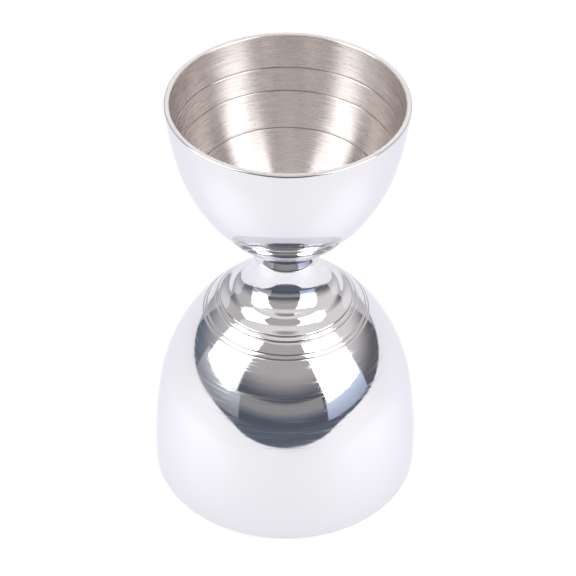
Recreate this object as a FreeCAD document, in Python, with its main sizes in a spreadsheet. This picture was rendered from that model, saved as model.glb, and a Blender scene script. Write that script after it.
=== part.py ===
import FreeCAD, Part
import math
import os
import Sketcher

# A bell jigger: a small cup and a large bell, foot to foot. The origin is the centre of the large
# cup's mouth, which the jigger stands on, and +Z runs up the axis to the small cup's lip.
# Each piece is a turned section. Sketches lie in the XZ plane: X is the radius and Y the height.

# name, millimetres or degrees, what it is
dimensions = [
    ("Height", 87.0, "table to the small cup's lip"),
    ("Wall", 1.05, "sheet thickness of both cups"),
    ("EdgeRound", 0.3, "rounding of both rims"),
    ("LipRadius", 22.75, "small cup, outside at its lip"),
    ("LipLean", 4.6, "how far the lip leans out, degrees"),
    ("WallArc", 76.0, "small cup, curve of the upper wall"),
    ("WallTurn", 8.0, "small cup, turn of the upper wall, degrees"),
    ("BellyArc", 37.6, "small cup, curve of the belly"),
    ("FootRadius", 7.4, "small cup, flat foot"),
    ("FootHeight", 54.5, "small cup, height of its foot"),
    ("FloorArc", 16.6, "small cup, rounding of its floor"),
    ("MouthRadius", 26.42, "bell, outside at its mouth"),
    ("BulgeHeight", 3.2, "height where the bell's skirt is widest"),
    ("SkirtArc", 98.0, "bell, curve of the skirt"),
    ("SkirtTurn", 9.2, "bell, slope where the skirt ends, degrees from upright"),
    ("ShoulderArc", 38.9, "bell, curve of the shoulder"),
    ("BrowTurn", 47.3, "bell, slope where the shoulder ends, degrees from upright"),
    ("BrowArc", 3.0, "bell, tighter curve between the shoulder and the flat crown"),
    ("FlareArc", 8.6, "bell, hollow curve of the trumpet"),
    ("FlareHeight", 50.3, "height where the trumpet leaves the straight neck"),
    ("NeckRadius", 6.45, "outside of the neck"),
    ("NeckTop", 51.8, "height of the bell's upper end"),
    ("RingTop", 5.95, "neck ring, outside at its upper end"),
    ("WeldLeg", 0.5, "upper weld, length down the neck ring"),
    ("WeldHollow", 2.4, "upper weld, curve of its hollow face"),
    ("DishHeight", 44.3, "plug, middle of its dished face"),
    ("DishArc", 23.0, "plug, curve of its dished face"),
    ("RimRadius", 7.2, "plug, turned rim of its face"),
    ("WeldRadius", 8.3, "lower weld, where it meets the bell's wall"),
    ("LineNose", 0.09, "turned lines, radius of the tool's nose"),
    ("MarkNose", 0.15, "measuring lines, radius of the tool's nose"),
    ("PairGap", 0.34, "half the distance between the two lines of a pair"),
    ("UpperPair", 40.9, "height of the upper pair of lines on the bell"),
    ("LowerPair", 38.4, "height of the lower pair of lines on the bell"),
    ("UpperLine", 65.0, "height of the upper line under the small cup"),
    ("LowerLine", 61.1, "height of the lower line under the small cup"),
    ("HighMark", 80.2, "height of the highest measuring line"),
    ("MiddleMark", 75.5, "height of the middle measuring line"),
    ("LowMark", 68.6, "height of the lowest measuring line"),
]
size = {name: value for name, value, meaning in dimensions}

doc = FreeCAD.newDocument("Jigger")
sheet = doc.addObject("Spreadsheet::Sheet", "Sizes")
for row, (name, value, meaning) in enumerate(dimensions, start=1):
    sheet.set(f"A{row}", meaning)
    sheet.set(f"B{row}", str(value))
    sheet.setAlias(f"B{row}", name)
doc.recompute()


# ---- plane geometry ----

def point(x, y):
    return FreeCAD.Vector(x, y, 0)


def towards(degrees):
    return point(math.cos(math.radians(degrees)), math.sin(math.radians(degrees)))


def bearing(start, end):
    return math.degrees(math.atan2(end.y - start.y, end.x - start.x))


def beyond(start, through, distance):
    """The point at a distance from start, on the line through another point."""
    return start + towards(bearing(start, through)) * distance


def crossing_slope(first, first_radius, second, second_radius):
    """Bearing of both radii to the straight line that leaves one curve and enters an opposite one."""
    share = (first_radius + second_radius) / (second - first).Length
    return bearing(first, second) - math.degrees(math.acos(share))


def level_point(centre, radius, height):
    """Where a circle passes a height, to the right of its own centre."""
    return point(centre.x + math.sqrt(radius**2 - (height - centre.y) ** 2), height)


def upright_point(centre, radius, x):
    """Where a circle passes a radius from the axis, below its own centre."""
    return point(x, centre.y - math.sqrt(radius**2 - (x - centre.x) ** 2))


# ---- sections and bodies ----

class Section:
    """A closed outline in a body's XZ plane. Each run starts where the last one ended."""

    def __init__(self, body, name, start=None):
        self.sketch = body.newObject("Sketcher::SketchObject", name)
        plane = [item for item in body.Origin.OriginFeatures if item.Role == "XZ_Plane"][0]
        self.sketch.AttachmentSupport = [(plane, "")]
        self.sketch.MapMode = "FlatFace"
        self.here = start
        self.runs = []

    def rule(self, kind, *where):
        return self.sketch.addConstraint(Sketcher.Constraint(kind, *where))

    def bind(self, kind, *where, to):
        """A driving dimension, bound to an expression on the sheet's cells."""
        index = self.rule(kind, *where)
        self.sketch.renameConstraint(index, f"{kind}{index}")
        self.sketch.setExpression(f"Constraints.{kind}{index}", to)

    def add(self, shape, first_end, last_end, smooth):
        run = (self.sketch.addGeometry(shape, False), first_end, last_end)
        if self.runs:
            last = self.runs[-1]
            self.rule("Tangent" if smooth else "Coincident", last[0], last[2], run[0], first_end)
        self.runs.append(run)
        return run[0]

    def line(self, end, smooth=False):
        index = self.add(Part.LineSegment(self.here, end), 1, 2, smooth)
        self.here = end
        return index

    def arc(self, centre, end, clockwise, smooth=False):
        radius = (self.here - centre).Length
        angles = [math.radians(bearing(centre, corner)) for corner in (self.here, end)]
        if clockwise:
            angles.reverse()
        circle = Part.Circle(centre, FreeCAD.Vector(0, 0, 1), radius)
        ends = (2, 1) if clockwise else (1, 2)
        index = self.add(Part.ArcOfCircle(circle, *angles), *ends, smooth)
        self.here = end
        return index

    def close(self):
        first, last = self.runs[0], self.runs[-1]
        self.rule("Coincident", last[0], last[2], first[0], first[1])

    def place(self, run, end, corner, x=None, y=None):
        """Holds one end of a run at a radius and a height."""
        if x:
            self.bind("DistanceX", -1, 1, run, end, corner.x, to=x)
        if y:
            self.bind("DistanceY", -1, 1, run, end, corner.y, to=y)


start_end, last_end, centre_end = 1, 2, 3
axis_x, axis_y = -1, -2


def new_body(label):
    body = doc.addObject("PartDesign::Body", label)
    body.Label = label
    body.Placement = FreeCAD.Placement()
    return body


def revolve(body, section, name):
    turned = body.newObject("PartDesign::Revolution", name)
    turned.Profile = section.sketch
    turned.ReferenceAxis = (section.sketch, ["V_Axis"])
    turned.Angle = 360
    section.sketch.Visibility = False
    doc.recompute()
    return turned


def round_rim(body, height):
    """Rounds both edges of the flat rim that lies at a height."""
    base = body.Tip
    edges = [f"Edge{number}" for number, edge in enumerate(base.Shape.Edges, start=1)
             if edge.BoundBox.ZLength < 1e-6 and abs(edge.BoundBox.ZMin - height) < 1e-6]
    rounded = body.newObject("PartDesign::Fillet", "RimRound")
    rounded.Base = (base, edges)
    rounded.setExpression("Radius", "Sizes.EdgeRound")
    doc.recompute()


def edge_name(sketch, run):
    """The name that a run of a section has among the edges of its sketch's shape."""
    curve = sketch.Geometry[run]
    middle = curve.value((curve.FirstParameter + curve.LastParameter) / 2)
    vertex = Part.Vertex(sketch.Placement.multVec(middle))
    gaps = [edge.distToShape(vertex)[0] for edge in sketch.Shape.Edges]
    return f"Edge{gaps.index(min(gaps)) + 1}"


def turn_line(body, outline, run, height, height_text, nose, name):
    """Turns one fine line into a wall: a round-nosed cut whose centre lies on the wall's curve."""
    before = body.Shape.Volume
    wall = outline.sketch.Geometry[run]
    centre = level_point(wall.Center, wall.Radius, height)
    cut = Section(body, name + "Section")
    cut.sketch.addExternal(outline.sketch.Name, edge_name(outline.sketch, run))
    circle = cut.sketch.addGeometry(Part.Circle(centre, FreeCAD.Vector(0, 0, 1), size[nose]), False)
    cut.rule("PointOnObject", circle, centre_end, -3)
    cut.bind("DistanceY", -1, 1, circle, centre_end, height, to=height_text)
    cut.bind("Radius", circle, size[nose], to=f"Sizes.{nose}")
    groove = body.newObject("PartDesign::Groove", name)
    groove.Profile = cut.sketch
    groove.ReferenceAxis = (cut.sketch, ["V_Axis"])
    groove.Angle = 360
    cut.sketch.Visibility = False
    doc.recompute()
    if not body.Shape.Volume < before - 1e-3:
        raise RuntimeError(f"{name} cut nothing")


# ---- the small cup ----

def build_upper_cup():
    wall, lean, turn = size["Wall"], size["LipLean"], size["LipLean"] + size["WallTurn"]
    lip = point(size["LipRadius"], size["Height"])
    foot = point(size["FootRadius"], size["FootHeight"])
    wall_centre = lip - towards(-lean) * size["WallArc"]
    belly_centre = wall_centre + towards(-turn) * (size["WallArc"] - size["BellyArc"])
    to_foot = foot - belly_centre
    cone_turn = bearing(belly_centre, foot)
    cone_turn += math.degrees(math.acos(size["BellyArc"] / to_foot.Length))

    wall_end = wall_centre + towards(-turn) * size["WallArc"]
    belly_end = belly_centre + towards(cone_turn) * size["BellyArc"]
    inner_lip = level_point(wall_centre, size["WallArc"] - wall, lip.y)
    inner_wall_end = beyond(wall_centre, wall_end, size["WallArc"] - wall)
    # the floor's round is centred on the axis and touches the belly's inner curve
    drop = math.sqrt((size["BellyArc"] - wall - size["FloorArc"]) ** 2 - belly_centre.x**2)
    floor_centre = point(0, belly_centre.y - drop)
    floor_edge = beyond(belly_centre, floor_centre, size["BellyArc"] - wall)
    floor_middle = floor_centre + towards(-90) * size["FloorArc"]

    body = new_body("upper_cup")
    section = Section(body, "CupSection", lip)
    outer_wall = section.arc(wall_centre, wall_end, clockwise=True)
    belly = section.arc(belly_centre, belly_end, clockwise=True, smooth=True)
    outer_cone = section.line(foot, smooth=True)
    foot_face = section.line(point(0, foot.y))
    centre_line = section.line(floor_middle)
    floor = section.arc(floor_centre, floor_edge, clockwise=False)
    inner_belly = section.arc(belly_centre, inner_wall_end, clockwise=False, smooth=True)
    inner_wall = section.arc(wall_centre, inner_lip, clockwise=False, smooth=True)
    land = section.line(lip)
    section.close()

    section.place(outer_wall, last_end, lip, x="Sizes.LipRadius", y="Sizes.Height")
    section.bind("DistanceY", outer_wall, last_end, outer_wall, centre_end, wall_centre.y - lip.y,
                 to="Sizes.WallArc * sin(Sizes.LipLean)")
    section.bind("Radius", outer_wall, size["WallArc"], to="Sizes.WallArc")
    section.bind("Angle", outer_wall, math.radians(size["WallTurn"]), to="Sizes.WallTurn * 1 deg")
    section.bind("Radius", belly, size["BellyArc"], to="Sizes.BellyArc")
    section.place(outer_cone, last_end, foot, x="Sizes.FootRadius", y="Sizes.FootHeight")
    section.rule("Horizontal", foot_face)
    section.rule("PointOnObject", foot_face, last_end, axis_y)
    section.rule("Vertical", centre_line)
    section.rule("PointOnObject", floor, centre_end, axis_y)
    section.bind("Radius", floor, size["FloorArc"], to="Sizes.FloorArc")
    section.rule("Coincident", inner_belly, centre_end, belly, centre_end)
    section.rule("Coincident", inner_wall, centre_end, outer_wall, centre_end)
    section.bind("Radius", inner_belly, size["BellyArc"] - wall, to="Sizes.BellyArc - Sizes.Wall")
    section.rule("Horizontal", land)

    revolve(body, section, "CupShell")
    round_rim(body, size["Height"])
    turn_line(body, section, belly, size["UpperLine"], "Sizes.UpperLine", "LineNose", "UpperLine")
    turn_line(body, section, belly, size["LowerLine"], "Sizes.LowerLine", "LineNose", "LowerLine")
    marks = (("HighMark", inner_wall), ("MiddleMark", inner_belly), ("LowMark", inner_belly))
    for name, run in marks:
        turn_line(body, section, run, size[name], f"Sizes.{name}", "MarkNose", name)
    return body


# ---- the large cup ----

def bell_centres():
    """Centres of the bell's curves, from its mouth up: skirt, shoulder, brow and the hollow flare."""
    skirt = point(size["MouthRadius"] - math.sqrt(size["SkirtArc"]**2 - size["BulgeHeight"]**2),
                  size["BulgeHeight"])
    shoulder = skirt + towards(size["SkirtTurn"]) * (size["SkirtArc"] - size["ShoulderArc"])
    brow = shoulder + towards(size["BrowTurn"]) * (size["ShoulderArc"] - size["BrowArc"])
    flare = point(size["NeckRadius"] + size["FlareArc"], size["FlareHeight"])
    return skirt, shoulder, brow, flare


def build_lower_bell():
    wall, neck_radius, neck_top = size["Wall"], size["NeckRadius"], size["NeckTop"]
    skirt, shoulder, brow, flare = bell_centres()
    slope = towards(crossing_slope(brow, size["BrowArc"], flare, size["FlareArc"]))
    mouth = point(size["MouthRadius"], 0)
    inner_mouth = level_point(skirt, size["SkirtArc"] - wall, 0)

    body = new_body("lower_bell")
    section = Section(body, "BellSection", mouth)
    outer_skirt = section.arc(skirt, beyond(skirt, shoulder, size["SkirtArc"]), clockwise=False)
    outer_shoulder = section.arc(shoulder, beyond(shoulder, brow, size["ShoulderArc"]), clockwise=False,
                                 smooth=True)
    outer_brow = section.arc(brow, brow + slope * size["BrowArc"], clockwise=False, smooth=True)
    section.line(flare - slope * size["FlareArc"], smooth=True)
    outer_flare = section.arc(flare, point(neck_radius, flare.y), clockwise=True, smooth=True)
    neck = section.line(point(neck_radius, neck_top), smooth=True)
    neck_face = section.line(point(neck_radius - wall, neck_top))
    section.line(point(neck_radius - wall, flare.y))
    inner_flare = section.arc(flare, flare - slope * (size["FlareArc"] + wall), clockwise=False,
                              smooth=True)
    section.line(brow + slope * (size["BrowArc"] - wall), smooth=True)
    inner_brow_end = beyond(shoulder, brow, size["ShoulderArc"] - wall)
    inner_brow = section.arc(brow, inner_brow_end, clockwise=True, smooth=True)
    inner_skirt_end = beyond(skirt, shoulder, size["SkirtArc"] - wall)
    inner_shoulder = section.arc(shoulder, inner_skirt_end, clockwise=True, smooth=True)
    inner_skirt = section.arc(skirt, inner_mouth, clockwise=True, smooth=True)
    land = section.line(mouth)
    section.close()

    section.place(outer_skirt, start_end, mouth, x="Sizes.MouthRadius")
    section.rule("PointOnObject", outer_skirt, start_end, axis_x)
    section.place(outer_skirt, centre_end, skirt, y="Sizes.BulgeHeight")
    section.bind("Radius", outer_skirt, size["SkirtArc"], to="Sizes.SkirtArc")
    section.place(outer_shoulder, centre_end, shoulder,
                  y="Sizes.BulgeHeight + (Sizes.SkirtArc - Sizes.ShoulderArc) * sin(Sizes.SkirtTurn)")
    section.bind("Radius", outer_shoulder, size["ShoulderArc"], to="Sizes.ShoulderArc")
    section.place(outer_brow, centre_end, brow,
                  y="Sizes.BulgeHeight + (Sizes.SkirtArc - Sizes.ShoulderArc) * sin(Sizes.SkirtTurn)"
                    " + (Sizes.ShoulderArc - Sizes.BrowArc) * sin(Sizes.BrowTurn)")
    section.bind("Radius", outer_brow, size["BrowArc"], to="Sizes.BrowArc")
    section.bind("Radius", outer_flare, size["FlareArc"], to="Sizes.FlareArc")
    section.place(outer_flare, centre_end, flare, y="Sizes.FlareHeight")
    section.rule("Vertical", neck)
    section.place(neck, last_end, point(neck_radius, neck_top),
                  x="Sizes.NeckRadius", y="Sizes.NeckTop")
    section.rule("Horizontal", neck_face)
    shared_centres = ((inner_skirt, outer_skirt), (inner_shoulder, outer_shoulder),
                      (inner_brow, outer_brow), (inner_flare, outer_flare))
    for inner, outer in shared_centres:
        section.rule("Coincident", inner, centre_end, outer, centre_end)
    section.bind("Radius", inner_brow, size["BrowArc"] - wall, to="Sizes.BrowArc - Sizes.Wall")
    section.bind("Radius", inner_flare, size["FlareArc"] + wall, to="Sizes.FlareArc + Sizes.Wall")
    section.rule("Horizontal", land)

    revolve(body, section, "BellShell")
    round_rim(body, 0)
    for name in ("UpperPair", "LowerPair"):
        for sign, side in (("+", "Top"), ("-", "Bottom")):
            height = size[name] + (size["PairGap"] if sign == "+" else -size["PairGap"])
            text = f"Sizes.{name} {sign} Sizes.PairGap"
            turn_line(body, section, outer_shoulder, height, text, "LineNose", name + side)
    return body


# ---- what joins the cups ----

def plug_rim():
    """The lower and upper ends of the slug's short upright rim."""
    dish_centre = size["DishHeight"] - size["DishArc"]
    low = dish_centre + math.sqrt(size["DishArc"]**2 - size["RimRadius"]**2)
    high = upright_point(bell_centres()[3], size["FlareArc"] + size["Wall"], size["RimRadius"])
    return point(size["RimRadius"], low), high


def build_neck_plug():
    """A turned slug: dished face, short rim, then the shape of the trumpet's inside and the neck."""
    wall = size["Wall"]
    flare = bell_centres()[3]
    flare_radius = size["FlareArc"] + wall
    neck_radius = size["NeckRadius"] - wall
    dish_centre = point(0, size["DishHeight"] - size["DishArc"])
    dish_middle = point(0, size["DishHeight"])
    rim_low, rim_high = plug_rim()
    top = point(neck_radius, size["FootHeight"])

    body = new_body("neck_plug")
    section = Section(body, "PlugSection", dish_middle)
    dish = section.arc(dish_centre, rim_low, clockwise=True)
    rim = section.line(rim_high)
    trumpet = section.arc(flare, point(neck_radius, flare.y), clockwise=True)
    shank = section.line(top, smooth=True)
    top_face = section.line(point(0, top.y))
    centre_line = section.line(dish_middle)
    section.close()

    section.place(dish, last_end, dish_middle, y="Sizes.DishHeight")
    section.rule("PointOnObject", dish, centre_end, axis_y)
    section.bind("Radius", dish, size["DishArc"], to="Sizes.DishArc")
    section.place(rim, start_end, rim_low, x="Sizes.RimRadius")
    section.rule("Vertical", rim)
    section.bind("Radius", trumpet, flare_radius, to="Sizes.FlareArc + Sizes.Wall")
    section.place(trumpet, centre_end, flare,
                  x="Sizes.NeckRadius + Sizes.FlareArc", y="Sizes.FlareHeight")
    section.rule("Vertical", shank)
    section.place(shank, last_end, top, y="Sizes.FootHeight")
    section.rule("Horizontal", top_face)
    section.rule("PointOnObject", top_face, last_end, axis_y)
    section.rule("Vertical", centre_line)
    revolve(body, section, "PlugTurning")
    return body


def build_neck_ring():
    """The visible waist: a short ring round the slug, a little narrower at its upper end."""
    inner = size["NeckRadius"] - size["Wall"]
    low, high = size["NeckTop"], size["FootHeight"]
    body = new_body("neck_ring")
    section = Section(body, "RingSection", point(inner, low))
    low_face = section.line(point(size["NeckRadius"], low))
    outside = section.line(point(size["RingTop"], high))
    high_face = section.line(point(inner, high))
    bore = section.line(point(inner, low))
    section.close()

    section.place(low_face, start_end, point(inner, low),
                  x="Sizes.NeckRadius - Sizes.Wall", y="Sizes.NeckTop")
    section.rule("Horizontal", low_face)
    section.place(outside, start_end, point(size["NeckRadius"], low), x="Sizes.NeckRadius")
    section.place(outside, last_end, point(size["RingTop"], high),
                  x="Sizes.RingTop", y="Sizes.FootHeight")
    section.rule("Horizontal", high_face)
    section.rule("Vertical", bore)
    revolve(body, section, "RingTurning")
    return body


def build_upper_weld():
    """The hollow-faced weld in the corner between the neck ring and the small cup's foot."""
    corner = point(size["RingTop"], size["FootHeight"])
    ring_foot = point(size["NeckRadius"], size["NeckTop"])
    toe = point(size["FootRadius"], size["FootHeight"])
    low = beyond(corner, ring_foot, size["WeldLeg"])
    chord = toe - low
    reach = math.sqrt(size["WeldHollow"]**2 - (chord.Length / 2) ** 2)
    hollow = (low + toe) * 0.5 + towards(bearing(low, toe) - 90) * reach

    body = new_body("upper_weld")
    section = Section(body, "UpperWeldSection", corner)
    leg = section.line(low)
    face = section.arc(hollow, toe, clockwise=True)
    foot_side = section.line(corner)
    section.close()

    section.place(leg, start_end, corner, x="Sizes.RingTop", y="Sizes.FootHeight")
    section.bind("Distance", leg, size["WeldLeg"], to="Sizes.WeldLeg")
    slope_text = "atan((Sizes.RingTop - Sizes.NeckRadius) / (Sizes.FootHeight - Sizes.NeckTop))"
    section.place(leg, last_end, low, x=f"Sizes.RingTop - Sizes.WeldLeg * sin({slope_text})")
    section.rule("Horizontal", foot_side)
    section.place(face, start_end, toe, x="Sizes.FootRadius")
    section.bind("Radius", face, size["WeldHollow"], to="Sizes.WeldHollow")
    revolve(body, section, "UpperWeldBead")
    return body


def build_lower_weld():
    """The weld that fills the corner between the slug's rim and the bell's wall, inside the bell."""
    flare = bell_centres()[3]
    flare_radius = size["FlareArc"] + size["Wall"]
    rim_low, rim_high = plug_rim()
    toe = upright_point(flare, flare_radius, size["WeldRadius"])

    body = new_body("lower_weld")
    section = Section(body, "LowerWeldSection", rim_low)
    rim_side = section.line(rim_high)
    wall_side = section.arc(flare, toe, clockwise=False)
    face = section.line(rim_low)
    section.close()

    section.place(rim_side, start_end, rim_low, x="Sizes.RimRadius",
                  y="Sizes.DishHeight - Sizes.DishArc + sqrt(Sizes.DishArc^2 - Sizes.RimRadius^2)")
    section.rule("Vertical", rim_side)
    section.bind("Radius", wall_side, flare_radius, to="Sizes.FlareArc + Sizes.Wall")
    section.place(wall_side, centre_end, flare,
                  x="Sizes.NeckRadius + Sizes.FlareArc", y="Sizes.FlareHeight")
    section.place(face, start_end, toe, x="Sizes.WeldRadius")
    revolve(body, section, "LowerWeldBead")
    return body


# ---- check and write ----

pieces = [build_upper_cup(), build_lower_bell(), build_neck_plug(), build_neck_ring(),
          build_upper_weld(), build_lower_weld()]
doc.recompute()

for item in doc.Objects:
    if {"Invalid", "Error"} & set(item.State):
        raise RuntimeError(f"{item.Name} failed: {item.State}")
os.makedirs("parts", exist_ok=True)
for piece in pieces:
    shape = piece.Shape
    if shape.isNull() or not shape.isValid() or len(shape.Solids) != 1:
        raise RuntimeError(f"{piece.Label} is not one sound solid")
    shape.exportStep(f"parts/{piece.Label}.step")
    print(f"{piece.Label}: {shape.Volume / 1000:.3f} cm3, {len(shape.Faces)} faces")
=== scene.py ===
import math
import bpy
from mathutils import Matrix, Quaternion, Vector


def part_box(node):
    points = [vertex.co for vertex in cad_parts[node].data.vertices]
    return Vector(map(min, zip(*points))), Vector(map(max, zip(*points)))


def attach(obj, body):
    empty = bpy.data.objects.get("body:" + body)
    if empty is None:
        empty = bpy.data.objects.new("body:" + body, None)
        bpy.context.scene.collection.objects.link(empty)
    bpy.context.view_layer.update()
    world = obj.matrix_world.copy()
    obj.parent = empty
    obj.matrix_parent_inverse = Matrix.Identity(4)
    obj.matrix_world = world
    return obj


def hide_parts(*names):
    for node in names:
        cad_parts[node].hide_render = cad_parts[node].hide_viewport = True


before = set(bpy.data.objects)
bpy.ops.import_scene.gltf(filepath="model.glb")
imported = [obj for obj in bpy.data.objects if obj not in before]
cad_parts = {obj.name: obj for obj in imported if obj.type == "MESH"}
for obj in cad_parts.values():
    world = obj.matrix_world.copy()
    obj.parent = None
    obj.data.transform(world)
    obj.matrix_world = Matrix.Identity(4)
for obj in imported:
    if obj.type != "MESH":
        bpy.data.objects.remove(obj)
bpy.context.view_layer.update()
print("frame loaded:", ", ".join(sorted(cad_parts)))

# A steel bell jigger. Every piece is a half outline turned about Z by one node tree.
# Outlines are in millimetres, x from the axis and y up; meshes are in metres, in the frame's own place.

mm = 0.001
fineStep = 0.04           # spacing of an outline's points before it is thinned
samePlace = 0.00001       # points nearer than this are one point
mergeReach = 0.0000002    # the same for a mesh's seams and poles, in metres
polished, brushed = 0, 1
lineShadeShare = 0.4           # added to the finish in the bottom of a turned line, where the colour is darkened as painted shade
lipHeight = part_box("upper_cup")[1].z / mm
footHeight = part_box("upper_cup")[0].z / mm
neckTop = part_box("lower_bell")[1].z / mm


def heading(degrees):
    return Vector((math.cos(math.radians(degrees)), math.sin(math.radians(degrees)), 0))


def spot(x, y, finish=polished):
    return Vector((x, y, finish))    # the third number is the finish, carried along the outline


def flat(place):
    return Vector((place.x, place.y, 0))


def bearing(start, end):
    return math.degrees(math.atan2(end.y - start.y, end.x - start.x))


def arc(centre, radius, first, last, finish=polished):
    steps = max(2, math.ceil(radius * math.radians(abs(last - first)) / fineStep))
    angles = [first + (last - first) * step / steps for step in range(steps + 1)]
    return [flat(centre) + heading(angle) * radius + spot(0, 0, finish) for angle in angles]


def straight(start, end, finish=polished):
    start, end = flat(start), flat(end)
    steps = max(1, math.ceil((end - start).length / fineStep))
    return [start.lerp(end, step / steps) + spot(0, 0, finish) for step in range(steps + 1)]


def joined(*runs):
    points = []
    for place in [place for run in runs for place in run]:
        if not points or (flat(place) - flat(points[-1])).length > samePlace:
            points.append(place)
    return points


# Unit vector along the outline at one of its points.
def way(points, index):
    before, after = points[max(index - 1, 0)], points[min(index + 1, len(points) - 1)]
    return (flat(after) - flat(before)).normalized()


# Rounds the corners of an open outline that turn by more than sharp degrees and lie above a height.
def softened(points, radius, above=-1, sharp=20, steps=10):
    soft = list(points)
    index = 1
    while index < len(soft) - 1:
        into = (flat(soft[index]) - flat(soft[index - 1])).normalized()
        out = (flat(soft[index + 1]) - flat(soft[index])).normalized()
        turn = into.angle(out, 0)
        if math.degrees(turn) < sharp or soft[index].y < above:
            index += 1
            continue
        corner, reach = soft[index], radius * math.tan(turn / 2)
        first, last = index, index
        while first > 0 and (flat(soft[first]) - flat(corner)).length < reach:
            first -= 1
        while last < len(soft) - 1 and (flat(soft[last]) - flat(corner)).length < reach:
            last += 1
        start, end = soft[first], soft[last]
        bend = []
        for step in range(1, steps):
            share = step / steps
            place = start.lerp(corner, share).lerp(corner.lerp(end, share), share)
            bend.append(spot(place.x, place.y, round(place.z)))
        soft[first + 1:last] = bend
        index = first + steps
    return soft


# Turns fine round-bottomed lines into the side of an outline that has the given finish.
def grooved(points, lines, finish):
    cut = [place.copy() for place in points]
    for height, depth, halfWidth in lines:
        side = [index for index in range(1, len(points) - 1) if points[index].z == finish]
        middle = flat(points[min(side, key=lambda index: abs(points[index].y - height))])
        for index in side:
            away = (flat(points[index]) - middle).length / halfWidth
            if away < 1:
                along, share = way(points, index), (1 + math.cos(math.pi * away)) / 2
                cut[index] += Vector((-along.y, along.x, 0)) * depth * share
                # painted shade: marks each line's bottom, where the colour is later darkened to stand in
                # for shade in the groove
                cut[index].z += lineShadeShare * share
    return cut


# Keeps a point once it is further than reach from the last one kept, once the outline has turned by
# more than turn degrees since then over more than the least gap, and wherever the finish changes.
def thinned(points, rings, least=0.02):
    reach, turn = rings
    kept = [points[0]]
    turnSince = 0
    for index in range(1, len(points) - 1):
        turnSince += math.degrees(way(points, index).angle(way(points, index - 1), 0))
        gone = (flat(points[index]) - flat(kept[-1])).length
        newFinish = round(points[index].z) != round(kept[-1].z)
        if gone > reach or turnSince > turn and gone > least or newFinish:
            kept.append(points[index])
            turnSince = 0
    return kept + [points[-1]]


# A function that adds nodes to a tree, each with its inputs linked or set and its settings made.
def adderFor(tree):
    def add(kind, inputs=(), **settings):
        node = tree.nodes.new(kind)
        for name, value in settings.items():
            setattr(node, name, value)
        for socket, value in dict(inputs).items():
            if isinstance(value, bpy.types.NodeSocket):
                tree.links.new(value, node.inputs[socket])
            else:
                node.inputs[socket].default_value = value
        return node

    return add


def turningTree():
    tree = bpy.data.node_groups.new("turning", "GeometryNodeTree")
    sockets = [("Outline", "INPUT", "NodeSocketGeometry"), ("Segments", "INPUT", "NodeSocketInt"),
               ("Polished", "INPUT", "NodeSocketMaterial"), ("Brushed", "INPUT", "NodeSocketMaterial"),
               ("Turned", "OUTPUT", "NodeSocketGeometry")]
    for name, inOut, kind in sockets:
        tree.interface.new_socket(name, in_out=inOut, socket_type=kind)

    add = adderFor(tree)
    given = add("NodeGroupInput").outputs
    rings = add("GeometryNodeAttributeDomainSize", {"Geometry": given["Outline"]}).outputs["Point Count"]
    columns = add("FunctionNodeIntegerMath", {0: given["Segments"], 1: 1}, operation="ADD").outputs[0]
    sheet = add("GeometryNodeMeshGrid", {"Vertices X": rings, "Vertices Y": columns}).outputs["Mesh"]
    index = add("GeometryNodeInputIndex").outputs[0]
    ring = add("FunctionNodeIntegerMath", {0: index, 1: columns}, operation="DIVIDE_FLOOR").outputs[0]
    column = add("FunctionNodeIntegerMath", {0: index, 1: columns}, operation="MODULO").outputs[0]
    around = add("ShaderNodeMath", {0: column, 1: given["Segments"]}, operation="DIVIDE").outputs[0]
    angle = add("ShaderNodeMath", {0: around, 1: math.tau}, operation="MULTIPLY").outputs[0]

    place = add("GeometryNodeInputPosition").outputs[0]
    onRing = add("GeometryNodeSampleIndex",
                 {"Geometry": given["Outline"], "Value": place, "Index": ring},
                 data_type="FLOAT_VECTOR").outputs[0]
    swung = add("ShaderNodeVectorRotate", {"Vector": onRing, "Angle": angle},
                rotation_type="Z_AXIS").outputs[0]
    shape = add("GeometryNodeSetPosition", {"Geometry": sheet, "Position": swung}).outputs[0]
    for name in ("finish", "along"):
        read = add("GeometryNodeInputNamedAttribute", {"Name": name}).outputs["Attribute"]
        value = add("GeometryNodeSampleIndex",
                    {"Geometry": given["Outline"], "Value": read, "Index": ring},
                    data_type="FLOAT").outputs[0]
        shape = add("GeometryNodeStoreNamedAttribute",
                    {"Geometry": shape, "Name": name, "Value": value},
                    data_type="FLOAT", domain="POINT").outputs[0]
    shape = add("GeometryNodeStoreNamedAttribute",
                {"Geometry": shape, "Name": "around", "Value": around},
                data_type="FLOAT", domain="POINT").outputs[0]
    across, up = [add("GeometryNodeInputNamedAttribute", {"Name": name}).outputs["Attribute"]
                  for name in ("around", "along")]
    both = add("ShaderNodeCombineXYZ", {"X": across, "Y": up}).outputs[0]
    shape = add("GeometryNodeStoreNamedAttribute", {"Geometry": shape, "Name": "UVMap", "Value": both},
                data_type="FLOAT2", domain="CORNER").outputs[0]
    shape = add("GeometryNodeMergeByDistance", {"Geometry": shape, "Distance": mergeReach}).outputs[0]
    shape = add("GeometryNodeFlipFaces", {"Mesh": shape}).outputs[0]
    shape = add("GeometryNodeSetShadeSmooth", {"Geometry": shape}).outputs[0]
    shape = add("GeometryNodeRealizeInstances", {"Geometry": shape}).outputs[0]
    shape = add("GeometryNodeSetMaterial", {"Geometry": shape, "Material": given["Polished"]}).outputs[0]
    finish = add("GeometryNodeInputNamedAttribute", {"Name": "finish"}).outputs["Attribute"]
    isBrushed = add("FunctionNodeCompare", {"A": finish, "B": (polished + brushed) / 2},
                    operation="GREATER_THAN").outputs[0]
    shape = add("GeometryNodeSetMaterial", {"Geometry": shape, "Selection": isBrushed,
                                            "Material": given["Brushed"]}).outputs[0]
    add("NodeGroupOutput", {"Turned": shape})
    return tree


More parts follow.
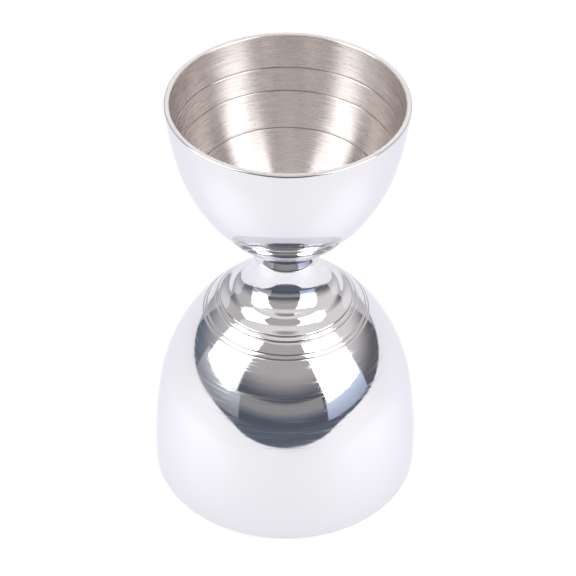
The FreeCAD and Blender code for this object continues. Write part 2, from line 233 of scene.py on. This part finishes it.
# Turns an outline into a piece that stands for a CAD node. A closed outline ends where it starts.
def turned(name, node, points, tree, materials, segments=256, closed=False):
    if closed:
        points = points + [points[0]]
    mesh = bpy.data.meshes.new(name + "Outline")
    edges = [(index, index + 1) for index in range(len(points) - 1)]
    mesh.from_pydata([(place.x * mm, 0, place.y * mm) for place in points], edges, [])
    finish = mesh.attributes.new("finish", "FLOAT", "POINT")
    finish.data.foreach_set("value", [place.z for place in points])
    lengths = [0]
    for first, last in zip(points, points[1:]):
        lengths.append(lengths[-1] + (flat(last) - flat(first)).length)
    along = mesh.attributes.new("along", "FLOAT", "POINT")
    along.data.foreach_set("value", lengths)
    outline = bpy.data.objects.new(name + "Outline", mesh)
    bpy.context.scene.collection.objects.link(outline)
    modifier = outline.modifiers.new("turning", "NODES")
    modifier.node_group = tree
    identifiers = {item.name: item.identifier for item in tree.interface.items_tree
                   if item.in_out == "INPUT"}
    modifier[identifiers["Segments"]] = segments
    modifier[identifiers["Polished"]] = materials[0]
    modifier[identifiers["Brushed"]] = materials[1]
    graph = bpy.context.evaluated_depsgraph_get()
    piece = bpy.data.objects.new(name, bpy.data.meshes.new_from_object(outline.evaluated_get(graph)))
    piece.data.name = name
    if piece.data.materials[0] is None:
        piece.data.materials.pop(index=0)    # the grid's own empty slot
    bpy.data.objects.remove(outline)
    bpy.context.scene.collection.objects.link(piece)
    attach(piece, "root")
    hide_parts(node)
    print(f"{name}: {len(points)} rings, {2 * len(piece.data.polygons)} triangles at most")
    return piece


def newMaterial(name):
    material = bpy.data.materials.new(name)
    material.use_nodes = True
    material.node_tree.nodes.clear()
    return material, adderFor(material.node_tree)


# Carries a value over from one range to another.
def ranged(add, value, fromRange, toRange, **settings):
    return add("ShaderNodeMapRange", {"Value": value, "From Min": fromRange[0], "From Max": fromRange[1],
                                      "To Min": toRange[0], "To Max": toRange[1]}, **settings).outputs[0]


# A colour on the way from one to another. Sockets 6 and 7 are the two colours, output 2 the result.
def mixed(add, share, first, second):
    return add("ShaderNodeMix", {"Factor": share, 6: first, 7: second}, data_type="RGBA").outputs[2]


# Noise coordinates that stretch round the axis, so a noise drawn on them makes turned rings.
def latheVector(add, aroundScale, alongScale):
    place = add("ShaderNodeTexCoord").outputs["Object"]
    level = add("ShaderNodeVectorMath", {0: place, 1: (1, 1, 0)}, operation="MULTIPLY").outputs[0]
    outwards = add("ShaderNodeVectorMath", {0: level}, operation="NORMALIZE").outputs[0]
    spread = add("ShaderNodeVectorMath", {0: outwards, "Scale": aroundScale},
                 operation="SCALE").outputs[0]
    along = add("ShaderNodeAttribute", attribute_name="along").outputs["Fac"]
    rise = add("ShaderNodeMath", {0: along, 1: alongScale}, operation="MULTIPLY").outputs[0]
    lifted = add("ShaderNodeCombineXYZ", {"Z": rise}).outputs[0]
    return add("ShaderNodeVectorMath", {0: spread, 1: lifted}, operation="ADD").outputs[0]


# The finish's own colour, going over to a darker colour in the turned lines' bottoms: painted shade in
# the grooves.
def paintedLineShade(add, colour, lineShadeColour):
    finish = add("ShaderNodeAttribute", attribute_name="finish").outputs["Fac"]
    share = add("ShaderNodeMath", {0: finish}, operation="FRACT").outputs[0]
    return mixed(add, ranged(add, share, (0, lineShadeShare), (0, 1)), colour, lineShadeColour)


polishedLook = {
    "colour": (0.765, 0.76, 0.77, 1),
    # painted shade: the darker colour put in the bottoms of the turned lines
    "lineShadeColour": (0.42, 0.385, 0.37, 1),
    "edgeTint": (0.9, 0.89, 0.93, 1),    # of the reflection where the wall turns out of sight
    "roughness": (0.035, 0.075),         # clearest and dullest patches
    "patchScale": 60,
    "patchNoise": (0.35, 0.65),          # noise where a patch is clearest and where it is dullest
    "ringsAround": 0.6,                  # how much the turning marks change on the way round
    "ringsPerMm": 2.2,
    "ringHeight": 0.0000022,             # metres, how far the turning marks stand
    "wipingTurn": (0.4, 1.0, 0),         # radians, which way the cloth was wiped
    "wipingScale": (70, 70, 3800),
    "wipingNoise": (0.53, 0.75),         # noise where a scratch starts and where it is deepest
    "wipingRoughness": 0.18,             # added where a scratch is deepest
}


def makePolished(name, look):
    material, add = newMaterial(name)
    stretched = latheVector(add, look["ringsAround"], look["ringsPerMm"])
    rings = add("ShaderNodeTexNoise", {"Vector": stretched, "Scale": 1, "Detail": 3,
                                       "Roughness": 0.6}).outputs["Fac"]
    place = add("ShaderNodeTexCoord").outputs["Object"]
    patches = add("ShaderNodeTexNoise", {"Vector": place, "Scale": look["patchScale"],
                                         "Detail": 2}).outputs["Fac"]
    wiped = add("ShaderNodeMapping", {"Vector": place, "Rotation": look["wipingTurn"],
                                      "Scale": look["wipingScale"]}).outputs[0]
    scratches = add("ShaderNodeTexNoise", {"Vector": wiped, "Scale": 1, "Detail": 2}).outputs["Fac"]
    dull = ranged(add, patches, look["patchNoise"], look["roughness"])
    scratched = ranged(add, scratches, look["wipingNoise"], (0, look["wipingRoughness"]))
    rough = add("ShaderNodeMath", {0: dull, 1: scratched}, operation="ADD").outputs[0]
    bump = add("ShaderNodeBump", {"Height": rings, "Strength": 1,
                                  "Distance": look["ringHeight"]}).outputs[0]
    colour = paintedLineShade(add, look["colour"], look["lineShadeColour"])
    shader = add("ShaderNodeBsdfPrincipled", {"Base Color": colour, "Metallic": 1,
                                              "Specular Tint": look["edgeTint"],
                                              "Roughness": rough, "Normal": bump}).outputs[0]
    add("ShaderNodeOutputMaterial", {"Surface": shader})
    return material


brushedLook = {
    "light": (0.83, 0.79, 0.775, 1),
    "dark": (0.65, 0.61, 0.595, 1),
    "streakNoise": (0.35, 0.65),    # noise where a streak is darkest and where it is lightest
    # painted shade: the darker colour put in the bottoms of the turned marks
    "lineShadeColour": (0.22, 0.195, 0.18, 1),
    "roughness": (0.23, 0.33),
    "roughNoise": (0.3, 0.7),       # noise where the wall is smoothest and where it is roughest
    "stretch": 0.95,                # how much the brushing smears a highlight along the wall
    "stretchTurn": 0.25,            # of a full turn, from the direction round the axis
    "ringsAround": 3,
    "ringsPerMm": 7,
    "ringHeight": 0.000006,
}


def makeBrushed(name, look):
    material, add = newMaterial(name)
    stretched = latheVector(add, look["ringsAround"], look["ringsPerMm"])
    rings = add("ShaderNodeTexNoise", {"Vector": stretched, "Scale": 1, "Detail": 4,
                                       "Roughness": 0.65}).outputs["Fac"]
    streaked = mixed(add, ranged(add, rings, look["streakNoise"], (0, 1)), look["dark"], look["light"])
    colour = paintedLineShade(add, streaked, look["lineShadeColour"])
    rough = ranged(add, rings, look["roughNoise"], look["roughness"])
    bump = add("ShaderNodeBump", {"Height": rings, "Strength": 1,
                                  "Distance": look["ringHeight"]}).outputs[0]
    tangent = add("ShaderNodeTangent", direction_type="UV_MAP", uv_map="UVMap").outputs[0]
    shader = add("ShaderNodeBsdfPrincipled", {"Base Color": colour, "Metallic": 1, "Roughness": rough,
                                              "Anisotropic": look["stretch"],
                                              "Anisotropic Rotation": look["stretchTurn"],
                                              "Tangent": tangent, "Normal": bump}).outputs[0]
    add("ShaderNodeOutputMaterial", {"Surface": shader})
    return material


weldLook = dict(polishedLook, roughness=(0.1, 0.2), ringHeight=0.000004)
mirrorSteel = makePolished("mirrorSteel", polishedLook)
brushedSteel = makeBrushed("brushedSteel", brushedLook)
weldSteel = makePolished("weldSteel", weldLook)
cupFinishes, weldFinishes = (mirrorSteel, brushedSteel), (weldSteel, weldSteel)
lathe = turningTree()
print("finishes and lathe ready")


cupSizes = {
    "wall": 1.05,
    "edgeRound": 0.3,
    "lipRadius": 22.75,
    "lipLean": 4.6,         # degrees
    "wallArc": 76.0,
    "wallTurn": 8.0,        # degrees
    "bellyArc": 37.6,
    "footRadius": 7.4,
    "floorArc": 16.6,
    "underLines": (61.1, 65.0),
    "underLine": (0.07, 0.22),    # depth and half width
    "marks": (68.6, 75.5, 80.2),
    "mark": (0.06, 0.18),
    "rings": (0.42, 2.2),         # gap in millimetres and turn in degrees before the mesh's next ring
}


def cupOutline(size):
    lean, turn = size["lipLean"], size["lipLean"] + size["wallTurn"]
    thin = size["wall"]
    wallCentre = spot(size["lipRadius"], lipHeight) - heading(-lean) * size["wallArc"]
    bellyCentre = wallCentre + heading(-turn) * (size["wallArc"] - size["bellyArc"])
    foot = spot(size["footRadius"], footHeight)
    toFoot = (flat(foot) - flat(bellyCentre)).length
    coneTurn = bearing(bellyCentre, foot) + math.degrees(math.acos(size["bellyArc"] / toFoot))
    bellyEnd = bellyCentre + heading(coneTurn) * size["bellyArc"]

    innerWall, innerBelly = size["wallArc"] - thin, size["bellyArc"] - thin
    innerLip = -math.degrees(math.asin((wallCentre.y - lipHeight) / innerWall))
    drop = math.sqrt((innerBelly - size["floorArc"]) ** 2 - bellyCentre.x**2)
    floorCentre = spot(0, bellyCentre.y - drop)
    floorTurn = bearing(bellyCentre, floorCentre)
    outside = joined(straight(spot(0, footHeight), foot), straight(foot, bellyEnd),
                     arc(bellyCentre, size["bellyArc"], coneTurn, -turn),
                     arc(wallCentre, size["wallArc"], -turn, -lean))
    inside = joined(arc(wallCentre, innerWall, innerLip, -turn, brushed),
                    arc(bellyCentre, innerBelly, -turn, floorTurn, brushed),
                    arc(floorCentre, size["floorArc"], floorTurn, -90, brushed))
    land = straight(outside[-1], inside[0], brushed)
    points = joined(outside, land, inside)
    underLines = [(height, *size["underLine"]) for height in size["underLines"]]
    marks = [(height, *size["mark"]) for height in size["marks"]]
    points = grooved(grooved(points, underLines, polished), marks, brushed)
    return thinned(softened(points, size["edgeRound"]), size["rings"])


turned("smallCup", "upper_cup", cupOutline(cupSizes), lathe, cupFinishes)


bellSizes = {
    "wall": 1.05,
    "edgeRound": 0.3,
    "neckRound": 0.08,
    "mouthRadius": 26.42,
    "bulgeHeight": 3.2,
    "skirtArc": 98.0,
    "skirtTurn": 9.2,       # degrees
    "shoulderArc": 38.9,
    "browTurn": 47.3,       # degrees
    "browArc": 3.0,
    "flareArc": 8.6,
    "flareHeight": 50.3,
    "neckRadius": 6.45,
    "linePairs": (38.4, 40.9),
    "pairGap": 0.34,        # half the distance between a pair's lines
    "line": (0.08, 0.23),   # depth and half width
    "dipHeight": 42.86,     # middle of the shallow dip that spinning left round the crown
    "dipWidth": 1.4,
    "dipSlope": 19,         # degrees, how much steeper the crown stands there
    "rings": (0.42, 2.2),
}


def bellCurves(size):
    reach = math.sqrt(size["skirtArc"]**2 - size["bulgeHeight"]**2)
    skirt = spot(size["mouthRadius"] - reach, size["bulgeHeight"])
    shoulder = skirt + heading(size["skirtTurn"]) * (size["skirtArc"] - size["shoulderArc"])
    brow = shoulder + heading(size["browTurn"]) * (size["shoulderArc"] - size["browArc"])
    flare = spot(size["neckRadius"] + size["flareArc"], size["flareHeight"])
    share = (size["browArc"] + size["flareArc"]) / (flare - brow).length
    return skirt, shoulder, brow, flare, bearing(brow, flare) - math.degrees(math.acos(share))


# Adds the crown's spun dip: steep in its middle, and flatter above and below it.
def dipped(points, size):
    middle = min((place for place in points if place.z == polished),
                 key=lambda place: abs(place.y - size["dipHeight"]))
    shaped = [place.copy() for place in points]
    for index, place in enumerate(points):
        if place.z == polished and 0 < index < len(points) - 1:
            along = way(points, index)
            away = flat(place - middle).dot(along) / size["dipWidth"]
            fade = math.exp(-away**2) if away > 0 else 1 / (1 + away**2)    # it dies out slowly outwards
            push = math.radians(size["dipSlope"]) * size["dipWidth"] * away * fade
            shaped[index] = place + Vector((along.y, -along.x, 0)) * push
    return shaped


def bellOutline(size):
    skirt, shoulder, brow, flare, slope = bellCurves(size)
    thin, neck = size["wall"], size["neckRadius"]

    def side(offset, finish):
        skirtArc, shoulderArc = size["skirtArc"] - offset, size["shoulderArc"] - offset
        low = -math.degrees(math.asin(size["bulgeHeight"] / skirtArc))
        crown = brow + heading(slope) * (size["browArc"] - offset)
        flareStart = flare - heading(slope) * (size["flareArc"] + offset)
        return joined(arc(skirt, skirtArc, low, size["skirtTurn"], finish),
                      arc(shoulder, shoulderArc, size["skirtTurn"], size["browTurn"], finish),
                      arc(brow, size["browArc"] - offset, size["browTurn"], slope, finish),
                      straight(crown, flareStart, finish),
                      arc(flare, size["flareArc"] + offset, slope + 180, 180, finish),
                      straight(spot(neck - offset, flare.y), spot(neck - offset, neckTop), finish))

    outside, inside = dipped(side(0, polished), size), side(thin, brushed)
    inside.reverse()
    points = joined(outside, straight(outside[-1], inside[0]), inside, straight(inside[-1], outside[0]))
    heights = [pair + sign * size["pairGap"] for pair in size["linePairs"] for sign in (-1, 1)]
    points = grooved(points, [(height, *size["line"]) for height in heights], polished)
    # the loop's seam lies in the middle of the skirt, away from the mouth's corners
    middle = len(outside) // 3
    points = points[middle:-1] + points[:middle]
    points = softened(points, size["neckRound"], above=size["flareHeight"])
    return thinned(softened(points, size["edgeRound"]), size["rings"])


turned("bell", "lower_bell", bellOutline(bellSizes), lathe, cupFinishes, closed=True)


# The bell's inner flare: its point at a distance from the axis, its centre and its own radius.
def underFlare(x):
    flare = bellCurves(bellSizes)[3]
    radius = bellSizes["flareArc"] + bellSizes["wall"]
    return spot(x, flare.y - math.sqrt(radius**2 - (x - flare.x) ** 2)), flare, radius


shank = bellSizes["neckRadius"] - bellSizes["wall"]    # radius of the plug where it runs up the neck

plugSizes = {
    "dishHeight": 44.3,
    "dishArc": 23.0,
    "rimRadius": 7.2,
    "edgeRound": 0.12,
    "rings": (0.6, 4),
}


def plugOutline(size):
    rimHigh, flare, radius = underFlare(size["rimRadius"])
    dishCentre = spot(0, size["dishHeight"] - size["dishArc"])
    dishTurn = math.degrees(math.acos(size["rimRadius"] / size["dishArc"]))
    dish = arc(dishCentre, size["dishArc"], 90, dishTurn, brushed)
    trumpet = arc(flare, radius, bearing(flare, rimHigh) % 360, 180)
    top = spot(shank, footHeight)
    points = joined(dish, straight(dish[-1], rimHigh), trumpet, straight(trumpet[-1], top),
                    straight(top, spot(0, footHeight)))
    return thinned(softened(points, size["edgeRound"]), size["rings"])


turned("neckPlug", "neck_plug", plugOutline(plugSizes), lathe, cupFinishes)


ringSizes = {
    "top": 5.95,
    "waist": (5.65, 53.6),    # narrowest place of its hollow side: radius, height
    "edgeRound": 0.06,
    "rings": (0.3, 6),
}


def ringOutline(size):
    corners = [spot(shank, neckTop), spot(bellSizes["neckRadius"], neckTop), spot(*size["waist"]),
               spot(size["top"], footHeight), spot(shank, footHeight),
               spot(shank, (neckTop + footHeight) / 2)]
    runs = [straight(start, end) for start, end in zip(corners[-1:] + corners, corners)]
    return thinned(softened(joined(*runs)[:-1], size["edgeRound"]), size["rings"])


turned("neckRing", "neck_ring", ringOutline(ringSizes), lathe, cupFinishes,
       closed=True)


upperWeldSizes = {
    "leg": 0.5,          # length down the ring
    "hollow": 2.4,       # curve of its face
    "rings": (0.12, 8),
}


def upperWeldOutline(size):
    corner, toe = spot(ringSizes["top"], footHeight), spot(cupSizes["footRadius"], footHeight)
    ringFoot = spot(bellSizes["neckRadius"], neckTop)
    low = corner + heading(bearing(corner, ringFoot)) * size["leg"]
    half = (toe - low).length / 2
    square = heading(bearing(low, toe) - 90)
    hollow = (low + toe) / 2 + square * math.sqrt(size["hollow"]**2 - half**2)
    first, last = bearing(hollow, low) % 360, bearing(hollow, toe) % 360
    face = arc(hollow, size["hollow"], first, last)
    return thinned(joined(straight(corner, low), face, straight(toe, corner))[:-1], size["rings"])


turned("upperWeldBead", "upper_weld", upperWeldOutline(upperWeldSizes), lathe,
       weldFinishes, closed=True)


lowerWeldSizes = {
    "toe": 8.3,          # radius where it meets the bell's wall
    "rings": (0.15, 8),
}


def lowerWeldOutline(size):
    toe, flare, radius = underFlare(size["toe"])
    rimRadius, dishArc = plugSizes["rimRadius"], plugSizes["dishArc"]
    rimHigh = underFlare(rimRadius)[0]
    dish = plugSizes["dishHeight"] - dishArc
    rimLow = spot(rimRadius, dish + math.sqrt(dishArc**2 - rimRadius**2))
    wallSide = arc(flare, radius, bearing(flare, toe) % 360, bearing(flare, rimHigh) % 360)
    points = joined(straight(rimLow, toe), wallSide, straight(rimHigh, rimLow))
    return thinned(points[:-1], size["rings"])


turned("lowerWeldBead", "lower_weld", lowerWeldOutline(lowerWeldSizes), lathe,
       weldFinishes, closed=True)


centre = Vector((0, 0, 0.045))    # the room is laid out round this place on the jigger, metres
roomDistance = 1.6                # metres
worldStrength = 1.3


def onlyInReflections(obj):
    obj.visible_camera = False
    obj.visible_diffuse = False
    obj.visible_shadow = False
    obj.visible_transmission = False


def stagePiece(name, vertices, faces, material):
    mesh = bpy.data.meshes.new(name)
    mesh.from_pydata(vertices, [], faces)
    mesh.materials.append(material)
    obj = bpy.data.objects.new(name, mesh)
    bpy.context.scene.collection.objects.link(obj)
    return obj


# Light that shades from one colour to another between two heights.
def glow(name, low, high, heights):
    material, add = newMaterial(name)
    place = add("ShaderNodeTexCoord").outputs["Object"]
    height = add("ShaderNodeSeparateXYZ", {0: place}).outputs["Z"]
    share = ranged(add, height, heights, (0, 1), interpolation_type="SMOOTHSTEP")
    colour = mixed(add, share, (*low, 1), (*high, 1))
    light = add("ShaderNodeEmission", {"Color": colour, "Strength": 1}).outputs[0]
    add("ShaderNodeOutputMaterial", {"Surface": light})
    return material


# A point seen from the jigger at a bearing: azimuth 0 is towards the front, 90 to the right.
def bearingPoint(azimuth, elevation, distance):
    turn, rise = math.radians(azimuth), math.radians(elevation)
    level = math.cos(rise)
    aim = Vector((math.sin(turn) * level, -math.cos(turn) * level, math.sin(rise)))
    return centre + aim * distance


floorSizes = {
    "half": 4.0,             # half its width, metres
    "colour": (0.45, 0.45, 0.45, 1),
    "grainScale": 40,
    "roughness": (0.6, 0.8),
    "shine": 0.1,
    "tint": (0.97, 0.955, 1.03, 1),
    # a pool of light lies on the floor at each side of the jigger: its middle on one side, and the
    # floor's own light at distances from that middle, metres
    "poolMiddle": (0.055, -0.022, 0),
    "glow": [(0, 0.7), (0.02, 0.66), (0.055, 0.55), (0.3, 0.46)],
}


def makeFloor(size):
    material, add = newMaterial("paleFloor")
    place = add("ShaderNodeTexCoord").outputs["Object"]
    grain = add("ShaderNodeTexNoise", {"Vector": place, "Scale": size["grainScale"]}).outputs["Fac"]
    rough = ranged(add, grain, (0, 1), size["roughness"])
    mirrored = add("ShaderNodeVectorMath", {0: place, 1: (-1, 1, 1)}, operation="MULTIPLY").outputs[0]
    folded = add("ShaderNodeVectorMath", {0: place, 1: mirrored}, operation="MAXIMUM").outputs[0]
    away = add("ShaderNodeVectorMath", {0: folded, 1: size["poolMiddle"]},
               operation="DISTANCE").outputs["Value"]
    light = add("ShaderNodeFloatCurve", {"Value": away})
    curve = light.mapping.curves[0]
    for distance, strength in size["glow"][1:-1]:
        curve.points.new(distance, strength)
    curve.points[0].location = size["glow"][0]
    curve.points[-1].location = size["glow"][-1]
    light.mapping.update()
    shader = add("ShaderNodeBsdfPrincipled", {"Base Color": size["colour"], "Roughness": rough,
                                              "Emission Color": size["tint"],
                                              "Emission Strength": light.outputs["Value"],
                                              "Specular IOR Level": size["shine"]}).outputs[0]
    add("ShaderNodeOutputMaterial", {"Surface": shader})
    half = size["half"]
    corners = [(-half, -half, 0), (half, -half, 0), (half, half, 0), (-half, half, 0)]
    stagePiece("paleFloor", corners, [(0, 1, 2, 3)], material)


makeFloor(floorSizes)


# Beyond the white table's front edge the jigger mirrors the room's darker floor.
roomFloorSizes = {
    "colour": (0.12, 0.14, 0.185),
    "lift": 0.0004,          # metres
    "far": 4.0,              # metres, where it ends
    # the table's edge as the jigger sees it: azimuth and distance in metres
    "tableEdge": [(-78, 2.2), (-66, 1.0), (-55, 0.52), (-45, 0.31), (-30, 0.16), (-15, 0.126),
                  (0, 0.118), (15, 0.126), (30, 0.16), (45, 0.31), (55, 0.45), (70, 0.55), (90, 0.6),
                  (120, 0.75), (150, 2.2)],
}


def makeRoomFloor(size):
    lift, reach = size["lift"], size["far"]
    edge = [(math.sin(math.radians(azimuth)) * away, -math.cos(math.radians(azimuth)) * away)
            for azimuth, away in size["tableEdge"]]
    near = [(x, y, lift) for x, y in edge]
    far = [(x * reach / math.hypot(x, y), y * reach / math.hypot(x, y), lift) for x, y in edge]
    spans = [(index, index + 1, index + 1 + len(near), index + len(near))
             for index in range(len(near) - 1)]
    material = glow("roomFloor", size["colour"], size["colour"], (0, 1))
    onlyInReflections(stagePiece("roomFloor", near + far, spans, material))


makeRoomFloor(roomFloorSizes)


ceilingSizes = {
    "low": (0.8, 0.78, 0.79),
    "high": (0.9, 0.88, 0.88),
    "fade": (1.2, 1.7),      # heights in metres
    "away": 1.06,            # share of the room's distance
    "lowest": 49,            # elevation of its edge, degrees
    "rows": 10,
    "columns": 48,
}


def makeCeiling(size):
    rows, columns, lowest = size["rows"], size["columns"], size["lowest"]
    distance = roomDistance * size["away"]
    vertices = [bearingPoint(360 * column / columns, lowest + (90 - lowest) * row / rows, distance)
                for row in range(rows + 1) for column in range(columns)]
    faces = [(row * columns + column, row * columns + (column + 1) % columns,
              (row + 1) * columns + (column + 1) % columns, (row + 1) * columns + column)
             for row in range(rows) for column in range(columns)]
    material = glow("ceiling", size["low"], size["high"], size["fade"])
    onlyInReflections(stagePiece("ceiling", vertices, faces, material))


makeCeiling(ceilingSizes)


# corners of each card as azimuth and elevation: low left, low right, high right, high left; its
# distance as a share of the room's; its colours, and the elevations between which they fade
roomCards = [
    {"name": "roomFront", "corners": [(-50, -2), (42, -2), (32, 52), (-44, 52)], "away": 1.0,
     "low": (0.1, 0.11, 0.14), "high": (0.5, 0.47, 0.47), "fade": (15, 32)},
    {"name": "frontBand", "corners": [(-41, 3), (37, 3), (35, 14), (-43, 14)], "away": 0.98,
     "low": (0.13, 0.15, 0.2), "high": (0.34, 0.335, 0.335), "fade": (3, 9)},
    {"name": "softboxLeft", "corners": [(-92, 10), (-55, 10), (-38, 50), (-92, 50)], "away": 0.94,
     "low": (4.1, 4.1, 4.15), "high": (4.6, 4.6, 4.6), "fade": (10, 50)},
    {"name": "softboxRight", "corners": [(40, 9), (80, 9), (82, 50), (27, 50)], "away": 0.94,
     "low": (4.1, 4.1, 4.15), "high": (4.6, 4.6, 4.6), "fade": (10, 50)},
    {"name": "wallLeft", "corners": [(-97, -2), (-41, -2), (-43, 12), (-97, 12)], "away": 0.97,
     "low": (0.33, 0.34, 0.38), "high": (0.58, 0.61, 0.68), "fade": (0, 11)},
    {"name": "wallRight", "corners": [(38, -2), (82, -2), (82, 12), (38, 12)], "away": 0.97,
     "low": (0.45, 0.52, 0.68), "high": (0.7, 0.78, 1.0), "fade": (-1, 9)},
    {"name": "sideLeft", "corners": [(-125, -2), (-90, -2), (-90, 50), (-125, 50)], "away": 1.03,
     "low": (0.15, 0.18, 0.23), "high": (0.58, 0.56, 0.57), "fade": (0, 28)},
    {"name": "sideRight", "corners": [(80, -2), (125, -2), (125, 50), (80, 50)], "away": 1.03,
     "low": (0.14, 0.14, 0.155), "high": (0.84, 0.81, 0.82), "fade": (1, 28)},
    {"name": "farLeft", "corners": [(-165, -2), (-125, -2), (-125, 50), (-165, 50)], "away": 1.05,
     "low": (0.45, 0.47, 0.5), "high": (0.84, 0.81, 0.83), "fade": (0, 28)},
    {"name": "farRight", "corners": [(125, -2), (165, -2), (165, 50), (125, 50)], "away": 1.05,
     "low": (0.6, 0.6, 0.62), "high": (0.97, 0.94, 0.96), "fade": (0, 25)},
]


def makeCard(card, steps=12):
    distance = roomDistance * card["away"]
    lowLeft, lowRight, highRight, highLeft = [Vector((*corner, 0)) for corner in card["corners"]]
    vertices = []
    for row in range(steps + 1):
        for column in range(steps + 1):
            across, up = column / steps, row / steps
            aim = lowLeft.lerp(lowRight, across).lerp(highLeft.lerp(highRight, across), up)
            vertices.append(bearingPoint(aim.x, aim.y, distance))
    faces = []
    for row in range(steps):
        for column in range(steps):
            corner = row * (steps + 1) + column
            faces.append((corner, corner + 1, corner + steps + 2, corner + steps + 1))
    heights = [bearingPoint(0, elevation, distance).z for elevation in card["fade"]]
    material = glow(card["name"], card["low"], card["high"], heights)
    onlyInReflections(stagePiece(card["name"], vertices, faces, material))


for roomCard in roomCards:
    makeCard(roomCard)


def makeWorld(strength):
    world = bpy.data.worlds.new("paleStudio")
    world.use_nodes = True
    background = world.node_tree.nodes["Background"].inputs
    background["Color"].default_value = (1, 1, 1, 1)
    background["Strength"].default_value = strength
    bpy.context.scene.world = world


makeWorld(worldStrength)
print("stage ready")


cameraSizes = {
    "lens": 145.725,         # millimetres
    "sensor": 36,            # millimetres
    "clip": (0.01, 20),      # metres
    "place": (0.338, -348.445, 333.573),
    "target": (0.338, 0, 42.603),
    "roll": 0.54,            # degrees
}


def makeCamera(size):
    data = bpy.data.cameras.new("camera")
    data.lens = size["lens"]
    data.sensor_width = size["sensor"]
    data.clip_start, data.clip_end = size["clip"]
    camera = bpy.data.objects.new("camera", data)
    bpy.context.scene.collection.objects.link(camera)
    place, target = Vector(size["place"]) * mm, Vector(size["target"]) * mm
    camera.location = place
    camera.rotation_mode = "QUATERNION"
    roll = Quaternion((0, 0, 1), math.radians(size["roll"]))
    camera.rotation_quaternion = (target - place).to_track_quat("-Z", "Y") @ roll
    bpy.context.scene.camera = camera


makeCamera(cameraSizes)
bpy.context.scene.view_settings.view_transform = "Standard"
print("camera ready")
